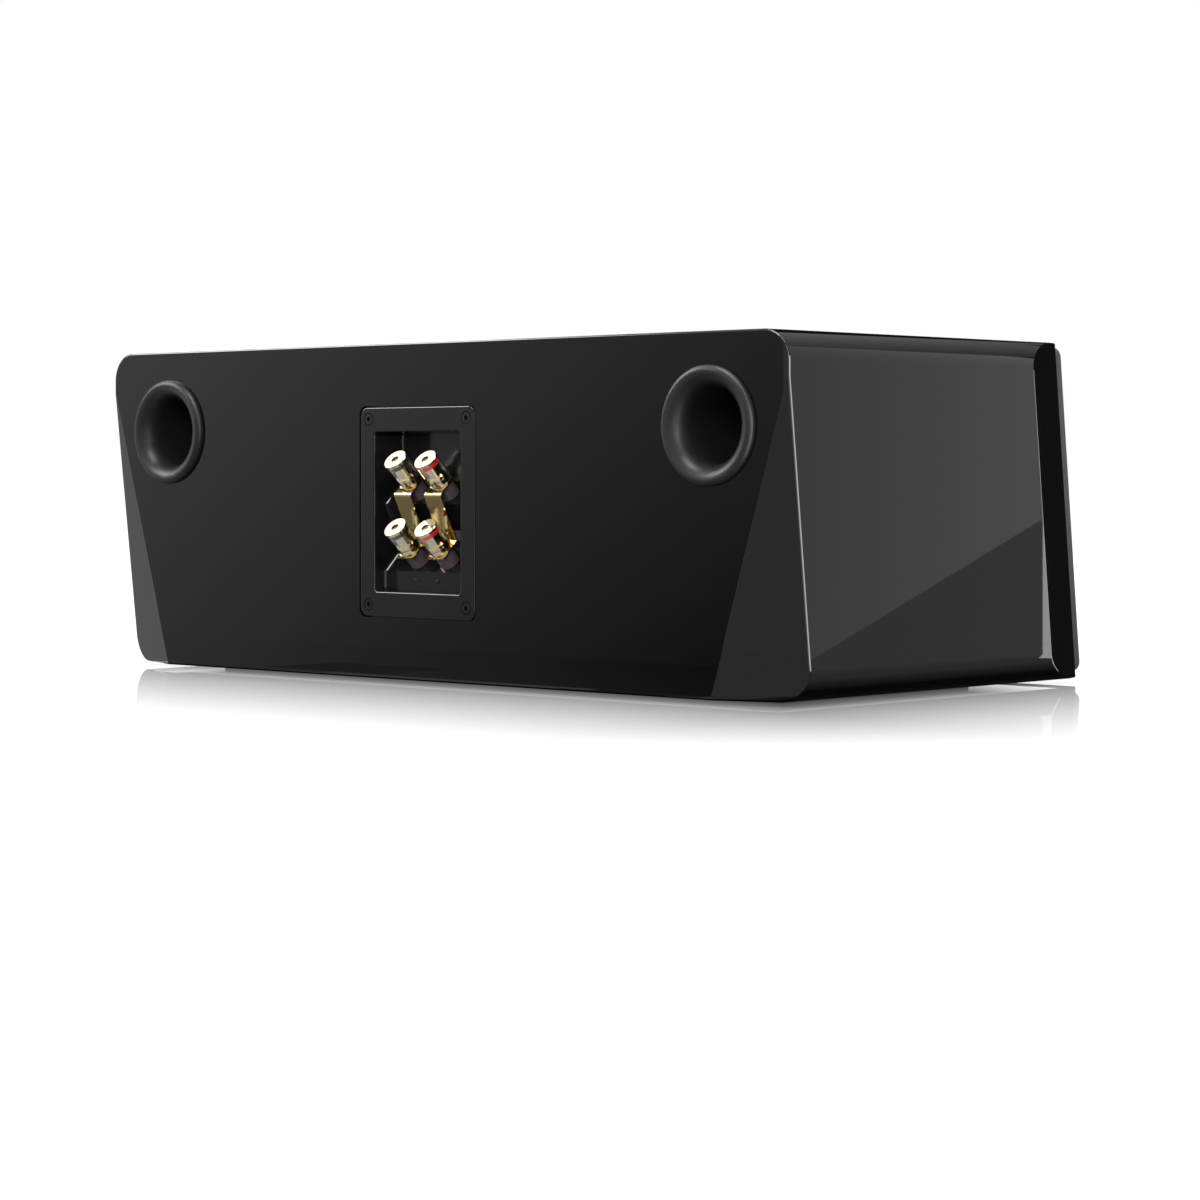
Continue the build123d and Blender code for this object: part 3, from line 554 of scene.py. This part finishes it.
@dataclass(frozen=True)
class GrilleCloth:
    """Acoustic cloth, stretched over the front and round the edges of the grille frame."""

    corner: float = 7.0 * MM
    edge_round: float = 1.6 * MM
    thickness: float = 0.9 * MM
    corner_steps: int = 12
    edge_steps: int = 5

    def build(self) -> bpy.types.Object:
        """Models the cloth as a shallow tray with rounded corners and a soft front edge.

        Returns:
            The finished cloth, riding on the grille.
        """
        place, depth, half_width = front_place("grille_cloth")
        low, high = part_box("grille_cloth")
        out = front_axis()
        half_height = ((high.z - low.z) - depth * out.z) / (2 * abs(out.y))
        bpy.ops.mesh.primitive_plane_add(size=2, location=(0, 0, depth))
        cloth = new_piece("stretched_grille_cloth")
        bpy.ops.object.mode_set(mode="EDIT")
        bpy.ops.mesh.select_all(action="SELECT")
        bpy.ops.transform.resize(value=(half_width, half_height, 1), center_override=(0, 0, depth))
        bpy.ops.mesh.bevel(
            offset=self.corner, offset_type="OFFSET", segments=self.corner_steps, affect="VERTICES"
        )
        select(cloth, Pick.FACES, lambda middle: True)
        extrude((0, 0, -depth))
        select(cloth, Pick.FACES, lambda middle: middle.z < MM)
        bpy.ops.mesh.delete(type="ONLY_FACE")
        select(cloth, Pick.EDGES, lambda middle: middle.z > depth - MM)
        bpy.ops.mesh.bevel(
            offset=self.edge_round, offset_type="OFFSET", segments=self.edge_steps, affect="EDGES"
        )
        tidy_mesh(cloth)
        bpy.ops.object.mode_set(mode="EDIT")
        bpy.ops.uv.cube_project(cube_size=1.0)
        bpy.ops.object.mode_set(mode="OBJECT")
        add_modifier(cloth, "SOLIDIFY", thickness=self.thickness, offset=-1)
        cloth.data.transform(place)
        smooth(cloth)
        dress(cloth, "grille_fabric")
        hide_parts("grille_cloth")
        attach(cloth, "grille")
        return cloth


@dataclass(frozen=True, kw_only=True)
class FlexRing:
    """Soft ring between a driver's frame and its cone, modelled in sectors."""

    node_end: ClassVar[str]
    slot: ClassVar[str]
    driver: str
    inner: float
    outer: float
    thickness: float
    bend_from: float
    bend_to: float
    sectors: int = 12
    spin_steps: int = 8
    sharp_from: float = 60.0

    def profile(self) -> None:
        """Extrudes the ring's section in edit mode from the point on its inner edge."""
        raise NotImplementedError

    def build(self) -> list[bpy.types.Object]:
        """Models one sector and copies it round the driver.

        Returns:
            The sectors, placed round the driver.
        """
        node = f"{self.driver}_{self.node_end}"
        place, _, _ = front_place(node)
        step = tau / self.sectors
        inner_edge = (self.inner, 0, self.thickness / 2)
        bpy.ops.mesh.primitive_plane_add(size=self.thickness, location=inner_edge)
        ring = new_piece(f"{node}_sector")
        select(ring, Pick.POINTS, lambda point: True)
        bpy.ops.mesh.merge(type="CENTER")
        self.profile()
        bpy.ops.mesh.select_all(action="SELECT")
        # Blender spins clockwise about an axis, so the axis points backwards.
        bpy.ops.mesh.spin(steps=self.spin_steps, angle=step, center=(0, 0, 0), axis=(0, 0, -1))
        tidy_mesh(ring)
        add_modifier(ring, "SOLIDIFY", thickness=self.thickness, offset=0)
        smooth(ring, self.sharp_from)
        dress(ring, self.slot)
        pieces = []
        for index in range(self.sectors):
            sector = ring.copy()
            sector.data = ring.data.copy()
            sector.name = sector.data.name = f"{node}_sector_{index + 1:02d}"
            bpy.context.collection.objects.link(sector)
            turned = place @ Matrix.Rotation(step * (index - 0.5), 4, "Z")
            sector.data.transform(turned)
            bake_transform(sector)
            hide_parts(node)
            pieces.append(sector)
        bpy.data.objects.remove(ring)
        return pieces


@dataclass(frozen=True, kw_only=True)
class Surround(FlexRing):
    """Rubber roll round the cone, with a glued lip at each edge."""

    node_end: ClassVar[str] = "surround"
    slot: ClassVar[str] = "surround_rubber"
    roll: float
    rise: float
    roll_steps: int = 16

    def profile(self) -> None:
        """Draws the inner lip, the roll as an arc of its half width and rise, and the outer lip."""
        roll_start = self.bend_to
        extrude((roll_start - self.inner, 0, 0))
        radius = (self.roll**2 + self.rise**2) / (2 * self.rise)
        middle = (roll_start + self.roll, 0, self.thickness / 2 + self.rise - radius)
        arc = 2 * asin(min(1.0, self.roll / radius))
        bpy.ops.mesh.spin(steps=self.roll_steps, angle=arc, center=middle, axis=(0, -1, 0))
        extrude((self.outer - roll_start - 2 * self.roll, 0, 0))


@dataclass(frozen=True, kw_only=True)
class Spider(FlexRing):
    """Corrugated cloth disc that centres the voice coil."""

    node_end: ClassVar[str] = "spider"
    slot: ClassVar[str] = "spider_cloth"
    waves: int
    rise: float
    ledge: float

    def profile(self) -> None:
        """Draws the inner collar, the corrugations and the flat that is glued to the basket."""
        flat = self.thickness
        run = (self.outer - self.ledge - self.inner - flat) / (2 * self.waves)
        extrude((flat, 0, 0))
        for _ in range(self.waves):
            extrude((run, 0, self.rise))
            extrude((run, 0, -self.rise))
        extrude((self.ledge, 0, 0))


@dataclass(frozen=True)
class PolarityMarks:
    """Raised plus and minus signs, moulded on the lower step of the terminal recess."""

    height_up: float = 70.4 * MM
    step_depth: float = 11.0 * MM
    minus_x: float = 10.9 * MM
    plus_x: float = -10.1 * MM
    arm: float = 2.6 * MM
    stroke: float = 1.0 * MM
    raised: float = 0.35 * MM
    bevel: float = 0.12 * MM
    bevel_steps: int = 2

    def build(self) -> list[bpy.types.Object]:
        """Models both signs.

        Returns:
            The plus and the minus sign, riding on the cabinet.
        """
        face_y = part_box("terminal_cup")[1].y - self.step_depth
        places = {"plus_sign": self.plus_x, "minus_sign": self.minus_x}
        return [self.sign(name, Vector((x, face_y, self.height_up))) for name, x in places.items()]

    def sign(self, name: str, place: Vector) -> bpy.types.Object:
        """Models one sign from a small block whose sides are drawn out into arms.

        Args:
            name: Name of the piece.
            place: Middle of the sign on the face of the step.

        Returns:
            The finished sign.
        """
        half = self.stroke / 2
        bpy.ops.mesh.primitive_cube_add(size=self.stroke)
        sign = new_piece(name)
        arms = [Vector((1, 0, 0)), Vector((-1, 0, 0))]
        if name == "plus_sign":
            arms += [Vector((0, 0, 1)), Vector((0, 0, -1))]
        for arm in arms:
            side = arm * half
            select(sign, Pick.FACES, lambda middle, side=side: (middle - side).length < half / 2)
            extrude(tuple(arm * (self.arm - half)))
        bpy.ops.mesh.select_all(action="SELECT")
        flatten = (1, 2 * self.raised / self.stroke, 1)
        bpy.ops.transform.resize(value=flatten, center_override=(0, 0, 0))
        tidy_mesh(sign)
        add_modifier(sign, "BEVEL", width=self.bevel, segments=self.bevel_steps)
        sign.data.transform(Matrix.Translation(place))
        smooth(sign)
        dress(sign, "cup_plastic")
        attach(sign, "cabinet")
        return sign


class Facing(Enum):
    """Axis that a card stands across, with the turn that puts it there."""

    X = (0.0, pi / 2, 0.0)
    Y = (pi / 2, 0.0, 0.0)
    Z = (0.0, 0.0, 0.0)


@dataclass(frozen=True)
class Card:
    """Studio card that only shows in reflections, with an even or slanting brightness."""

    name: str
    middle: tuple[float, float, float]
    size: tuple[float, float]
    facing: Facing
    radiance: float
    slope: tuple[float, float, float] = (0.0, 0.0, 0.0)
    cut: tuple[tuple[float, float, float], tuple[float, float, float]] | None = None
    least: float = 0.01
    through_clear: bool = False

    def build(self) -> bpy.types.Object:
        """Makes the card, seen by soft glossy rays alone, so that the floor doesn't mirror it.

        Returns:
            The card.
        """
        bpy.ops.mesh.primitive_plane_add(size=1, location=self.middle, rotation=self.facing.value)
        bpy.context.active_object.scale = (*self.size, 1)
        card = new_piece(self.name)
        if self.cut:
            point, normal = self.cut
            bpy.ops.object.mode_set(mode="EDIT")
            bpy.ops.mesh.select_all(action="SELECT")
            bpy.ops.mesh.bisect(plane_co=point, plane_no=normal, clear_outer=True)
            bpy.ops.object.mode_set(mode="OBJECT")
        card.data.materials.append(self.material())
        for ray in ("camera", "diffuse", "shadow", "volume_scatter"):
            setattr(card, f"visible_{ray}", False)
        card.visible_transmission = self.through_clear
        return card

    def material(self) -> bpy.types.Material:
        """Builds the card's glow, which sharp mirrors look straight through.

        Returns:
            The card's own material.
        """
        material = bpy.data.materials.new(self.name)
        tree = empty_tree(material)
        strength: Any = self.radiance
        if any(self.slope):
            place = add_node(tree, "ShaderNodeTexCoord").outputs["Object"]
            rise = calculate_vector(tree, "DOT_PRODUCT", place, self.slope, output="Value")
            level = calculate(tree, "ADD", rise, self.radiance)
            strength = calculate(tree, "MAXIMUM", level, self.least)
        glow = add_node(tree, "ShaderNodeEmission", {"Strength": strength})
        clear = add_node(tree, "ShaderNodeBsdfTransparent")
        rays = add_node(tree, "ShaderNodeLightPath").outputs
        hidden = calculate(tree, "SUBTRACT", rays["Is Singular Ray"], rays["Is Transmission Ray"])
        surface = add_node(
            tree, "ShaderNodeMixShader", {0: hidden, 1: glow.outputs[0], 2: clear.outputs[0]}
        )
        add_node(tree, "ShaderNodeOutputMaterial", {"Surface": surface.outputs[0]})
        return material


CARDS = [
    # What the rear panel, its terminal plate and the posts reflect.
    Card("rear_card", (0.31, 0.45, 0.17), (0.82, 0.34), Facing.Y, 0.073, (0.506, 0.0, 0.964)),
    Card("rear_mat", (0.25, 0.3325, 0.0006), (0.94, 0.235), Facing.Z, 0.302, (0.545, -0.583, 0.0)),
    Card("rear_foot_mat_left", (0.29, 0.19, 0.0006), (0.3, 0.05), Facing.Z, 0.3),
    Card(
        "rear_foot_mat_middle", (0.01, 0.19, 0.0006), (0.26, 0.05), Facing.Z, 0.6,
        through_clear=True,
    ),
    Card("rear_foot_mat_right", (-0.17, 0.19, 0.0006), (0.1, 0.05), Facing.Z, 0.12),
    Card("rear_shade_mat", (-0.02, 0.15, 0.0009), (0.6, 0.04), Facing.Z, 0.01),
    Card("jumper_flag", (0.15, 0.25, 0.0012), (0.12, 0.07), Facing.Z, 0.15),
    # What the two slanting facets reflect.
    Card("facet_card", (-0.29, 0.285, 0.21), (0.14, 0.42), Facing.Y, 0.46),
    Card("facet_mat", (-0.29, 0.225, 0.0009), (0.14, 0.12), Facing.Z, 0.43),
    Card("left_card", (0.75, 0.07, 0.2), (0.4, 0.34), Facing.X, 0.43),
    Card("left_mat", (0.525, 0.055, 0.0009), (0.45, 0.31), Facing.Z, 0.43),
    # The side, lighter above a slanting line, and its lower edge.
    Card(
        "side_card_upper", (-0.445, -0.08, 0.2), (0.4, 0.56), Facing.X, 0.68, (0.0, -0.9, 0.0),
        ((-0.445, -0.012, 0.021), (0.0, -0.324, -0.946)),
    ),
    Card(
        "side_card_lower", (-0.445, -0.08, 0.2), (0.4, 0.56), Facing.X, 0.43, (0.0, 0.0, 0.0),
        ((-0.445, -0.012, 0.021), (0.0, 0.324, 0.946)),
    ),
    Card("side_mat", (-0.395, -0.225, 0.0006), (0.1, 0.85), Facing.Z, -0.371, (-1.8, 0.0, 0.0)),
    Card(
        "side_foot_mat", (-0.3175, -0.225, 0.0006), (0.055, 0.85), Facing.Z, -3.2, (-10.0, 0.0, 0.0)
    ),
    # Bright lines along the crease before the chamfer and along the rear corner.
    Card("crease_strip", (-0.3475, -0.17, 0.1075), (0.055, 0.215), Facing.Y, 3.5),
    Card("corner_strip", (-0.44, 0.125, 0.125), (0.25, 0.15), Facing.X, 9.0),
    Card("corner_side_light", (-0.9, 0.3, 0.55), (0.7, 0.4), Facing.X, 8.0),
    Card("corner_top_light", (-0.35, 0.225, 1.1), (1.1, 0.25), Facing.Z, 8.0),
    # The chamfer beside the front stays dark.
    Card("chamfer_card", (-0.55, -0.57, 0.25), (0.9, 0.5), Facing.Y, 0.015),
    Card("chamfer_mat", (-0.215, -0.37, 0.0009), (0.23, 0.4), Facing.Z, 0.015),
    # The rounded top of the side, the top edges and the ends of the knobs.
    Card("top_shade_card", (1.475, -1.2, 0.95), (2.25, 1.7), Facing.Y, 0.01),
    Card("side_top_card", (-1.125, -1.2, 0.95), (2.95, 1.7), Facing.Y, -0.23, (0.0, 0.0, 0.55)),
    Card("overhead_light", (-0.1, 0.55, 1.4), (0.6, 0.5), Facing.Z, 18.0),
    Card("rear_edge_light", (1.3, 0.975, 1.0), (1.0, 0.85), Facing.X, 13.0),
    Card("far_edge_light", (1.3, -0.675, 1.0), (1.0, 0.85), Facing.X, 6.0),
    Card("cap_light", (1.3, 0.15, 1.35), (0.9, 0.8), Facing.X, 2.9),
]


@dataclass(frozen=True)
class Lamp:
    """Soft square lamp that points at the speaker: side in metres, power in watts."""

    name: str
    place: tuple[float, float, float]
    size: float
    power: float

    def build(self) -> bpy.types.Object:
        """Adds the lamp and keeps it out of reflections.

        Returns:
            The lamp.
        """
        light = bpy.data.lights.new(self.name, "AREA")
        light.size = self.size
        light.energy = self.power
        lamp = bpy.data.objects.new(self.name, light)
        bpy.context.collection.objects.link(lamp)
        lamp.location = self.place
        target = (CAD_BOX[0] + CAD_BOX[1]) / 2
        lamp.rotation_euler = (target - Vector(self.place)).to_track_quat("-Z", "Y").to_euler()
        lamp.visible_glossy = False
        lamp.visible_camera = False
        return lamp


LAMPS = [
    Lamp("key_lamp", (-2.4, 0.8, 1.8), 1.4, 60),
    Lamp("fill_lamp", (1.2, 2.0, 1.3), 2.0, 45),
    Lamp("recess_lamp", (-1.3, 2.0, 0.9), 1.2, 40),
    Lamp("front_lamp", (0.6, -2.4, 1.8), 2.0, 60),
]


@dataclass(frozen=True)
class Studio:
    """White studio: glossy floor, reflection cards, soft lamps and the photograph's camera."""

    floor_size: float = 30.0
    floor_glow: float = 0.97
    floor_diffuse: float = 0.25
    mirror_share: float = 0.76
    mirror_reach: float = 0.4
    mirror_fall: float = 1.1
    # Distance inside the cabinet's footprint over which the floor's painted shadow deepens to full.
    painted_shadow_inset: float = 60.0 * MM
    ambient: float = 0.55
    camera_place: tuple[float, float, float] = (-1.5365, 1.62384, 0.1461)
    camera_heading: float = 223.13
    camera_near: float = 10.0 * MM
    lens: float = 94.35
    sensor: float = 36.0
    shift_up: float = -0.10975

    def build(self) -> None:
        """Sets up the whole studio."""
        bpy.context.scene.view_settings.view_transform = "Standard"
        self.build_world()
        self.build_floor()
        for item in (*CARDS, *LAMPS):
            LOG.info("placed %s", item.build().name)
        self.add_camera()

    def seen_directly(self, tree: bpy.types.NodeTree) -> bpy.types.NodeSocket:
        """Adds what is 1 for rays from the camera, mirrors and clear pieces, and 0 for soft light.

        Args:
            tree: Node tree of the floor or the world.

        Returns:
            Output with that value.
        """
        rays = add_node(tree, "ShaderNodeLightPath").outputs
        pair = calculate(tree, "MAXIMUM", rays["Is Camera Ray"], rays["Is Glossy Ray"])
        return calculate(tree, "MAXIMUM", pair, rays["Is Transmission Ray"])

    def build_world(self) -> None:
        """White surroundings for the camera and reflections, and a lower level for soft light."""
        world = bpy.data.worlds.new("white_studio")
        bpy.context.scene.world = world
        tree = empty_tree(world)
        level = add_node(
            tree,
            "ShaderNodeMapRange",
            {"Value": self.seen_directly(tree), "To Min": self.ambient, "To Max": 1.0},
        )
        sky = add_node(
            tree, "ShaderNodeBackground", {"Color": WHITE, "Strength": level.outputs[0]}
        )
        add_node(tree, "ShaderNodeOutputWorld", {"Surface": sky.outputs[0]})

    def beside_cabinet(self, tree: bpy.types.NodeTree) -> bpy.types.NodeSocket:
        """Adds how far a point of the floor lies beyond the cabinet's sides, below 0 under it.

        Args:
            tree: Node tree of the floor.

        Returns:
            Output with the distances along X and Y.
        """
        low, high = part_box("cabinet")
        middle = ((low.x + high.x) / 2, (low.y + high.y) / 2, 0.0)
        half = ((high.x - low.x) / 2, (high.y - low.y) / 2, 1.0)
        place = add_node(tree, "ShaderNodeTexCoord").outputs["Object"]
        from_middle = calculate_vector(tree, "SUBTRACT", place, middle)
        distance = calculate_vector(tree, "ABSOLUTE", from_middle)
        return calculate_vector(tree, "SUBTRACT", distance, half)

    def mirror_strength(
        self, tree: bpy.types.NodeTree, beside: bpy.types.NodeSocket
    ) -> bpy.types.NodeSocket:
        """Adds the share of the floor's mirror, which fades away from the cabinet.

        Args:
            tree: Node tree of the floor.
            beside: Distances beyond the cabinet's sides.

        Returns:
            Output with the share, for rays from the camera alone.
        """
        outside = calculate_vector(tree, "MAXIMUM", beside, (0.0, 0.0, 0.0))
        away = calculate_vector(tree, "LENGTH", outside, output="Value")
        near = add_node(
            tree,
            "ShaderNodeMapRange",
            {"Value": away, "From Max": self.mirror_reach, "To Min": 1.0, "To Max": 0.0},
        )
        share = calculate(tree, "POWER", near.outputs[0], self.mirror_fall)
        share = calculate(tree, "MULTIPLY", share, self.mirror_share)
        rays = add_node(tree, "ShaderNodeLightPath").outputs
        return calculate(tree, "MULTIPLY", share, rays["Is Camera Ray"])

    def build_floor(self) -> None:
        """White glossy floor with a painted shadow under the speaker, whose reflection fades with the distance."""
        bpy.ops.mesh.primitive_plane_add(size=self.floor_size)
        floor = new_piece("studio_floor")
        material = bpy.data.materials.new("white_gloss_floor")
        tree = empty_tree(material)
        beside = self.beside_cabinet(tree)
        sides = add_node(tree, "ShaderNodeSeparateXYZ", {0: beside}).outputs
        # Painted shadow: the floor's glow falls from full at the cabinet's edge to none a little way under it.
        outside_painted_shadow = add_node(
            tree,
            "ShaderNodeMapRange",
            {
                "Value": calculate(tree, "MAXIMUM", sides["X"], sides["Y"]),
                "From Min": -self.painted_shadow_inset,
                "From Max": 0.0,
            },
        )
        glow = calculate(tree, "MULTIPLY", self.seen_directly(tree), self.floor_glow)
        glow = calculate(tree, "MULTIPLY", glow, outside_painted_shadow.outputs[0])
        white = add_node(tree, "ShaderNodeEmission", {"Strength": glow})
        grey = (*[self.floor_diffuse] * 3, 1)
        matt = add_node(tree, "ShaderNodeBsdfDiffuse", {"Color": grey})
        pale = add_node(tree, "ShaderNodeAddShader", {0: white.outputs[0], 1: matt.outputs[0]})
        mirror = add_node(
            tree, "ShaderNodeBsdfAnisotropic", {"Color": WHITE, "Roughness": 0.0}
        )
        share = self.mirror_strength(tree, beside)
        surface = add_node(
            tree, "ShaderNodeMixShader", {0: share, 1: pale.outputs[0], 2: mirror.outputs[0]}
        )
        add_node(tree, "ShaderNodeOutputMaterial", {"Surface": surface.outputs[0]})
        floor.data.materials.append(material)

    def add_camera(self) -> None:
        """Adds the camera at the photograph's place, level, with the lens shifted down."""
        data = bpy.data.cameras.new("photo_camera")
        data.lens = self.lens
        data.sensor_width = self.sensor
        data.shift_y = self.shift_up
        data.clip_start = self.camera_near
        camera = bpy.data.objects.new("photo_camera", data)
        bpy.context.collection.objects.link(camera)
        camera.location = self.camera_place
        camera.rotation_euler = (pi / 2, 0, radians(self.camera_heading))
        bpy.context.scene.camera = camera


def flex_rings() -> list[FlexRing]:
    """The surrounds and spiders of the three cone drivers.

    Returns:
        Every soft ring with its sizes.
    """
    rings: list[FlexRing] = []
    for driver in ("left_woofer", "right_woofer"):
        rings += [
            Surround(
                driver=driver, inner=51 * MM, outer=72.9 * MM, thickness=1.0 * MM,
                bend_from=64.5 * MM, bend_to=55.5 * MM, roll=5.5 * MM, rise=4.2 * MM,
            ),
            Spider(
                driver=driver, inner=19.5 * MM, outer=51.9 * MM, thickness=0.8 * MM,
                bend_from=45 * MM, bend_to=22 * MM, waves=4, rise=1.6 * MM, ledge=4.9 * MM,
            ),
        ]
    rings += [
        Surround(
            driver="midrange", inner=26.3 * MM, outer=38.5 * MM, thickness=0.8 * MM,
            bend_from=34.2 * MM, bend_to=29.2 * MM, roll=3.0 * MM, rise=2.8 * MM,
        ),
        Spider(
            driver="midrange", inner=13.0 * MM, outer=29.9 * MM, thickness=0.6 * MM,
            bend_from=26 * MM, bend_to=15 * MM, waves=3, rise=1.0 * MM, ledge=3.4 * MM,
        ),
    ]
    return rings


def main() -> None:
    """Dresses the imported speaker, adds its soft pieces and signs, and sets up the studio."""
    logging.basicConfig(level=logging.INFO, format="%(asctime)s %(message)s")
    bpy.ops.object.select_all(action="DESELECT")
    PackedNodes().dress()
    LOG.info("built %s", GrilleCloth().build().name)
    for ring in flex_rings():
        LOG.info("built %s %s in %d sectors", ring.driver, ring.node_end, len(ring.build()))
    for sign in PolarityMarks().build():
        LOG.info("built %s", sign.name)
    Studio().build()


if __name__ == "__main__":
    main()
